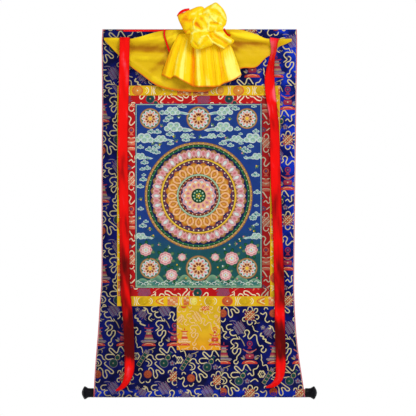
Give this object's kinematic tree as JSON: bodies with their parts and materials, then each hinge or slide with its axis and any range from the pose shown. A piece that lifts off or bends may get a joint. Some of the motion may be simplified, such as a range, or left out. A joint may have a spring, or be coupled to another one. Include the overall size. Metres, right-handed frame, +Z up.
{
  "type": "hanging scroll painting with bottom roller and knobs",
  "caption": "Brocade cloth scroll that hangs from its top edge, with a framed canvas, a silk veil and bow, red ribbons and a weighted bottom roller with turned knobs.",
  "frame": {"origin": "middle of the ground cloth's top edge, in its hanging plane", "axes": "+Z up, +Y towards the wall behind, so the painting faces -Y, and +X to the right as seen from the front"},
  "size_m": [0.7676, 0.1014, 1.2947],
  "materials": {
    "blue_brocade": "satin brocade, deep blue with woven motifs",
    "piping_red": "pink-red piping",
    "canvas": "painted cotton canvas, matt",
    "red_brocade": "satin brocade, red with woven motifs",
    "yellow_brocade": "satin brocade, golden yellow with woven motifs",
    "gold_brocade": "satin brocade, gold with cream clouds",
    "yellow_silk": "thin bright silk",
    "red_silk": "red silk ribbon",
    "plain_wood": "plain rod",
    "black_lacquer": "black lacquered turned wood"
  },
  "bodies": {
    "root": {"blue_panel": "blue_brocade", "piping_left": "piping_red", "piping_right": "piping_red", "painting": "canvas", "red_top": "red_brocade", "red_bottom": "red_brocade", "red_left": "red_brocade", "red_right": "red_brocade", "yellow_top": "yellow_brocade", "yellow_bottom": "yellow_brocade", "yellow_left": "yellow_brocade", "yellow_right": "yellow_brocade", "door": "gold_brocade", "top_tape": "red_silk", "veil": "yellow_silk", "skirt": "yellow_silk", "rosette": "yellow_silk", "strap": "red_silk", "tie_end": "red_silk", "tie_loop": "red_silk", "ribbon_left": "red_silk", "ribbon_right": "red_silk", "roller": "plain_wood", "knob_left": "black_lacquer", "knob_right": "black_lacquer"}
  },
  "joints": []
}
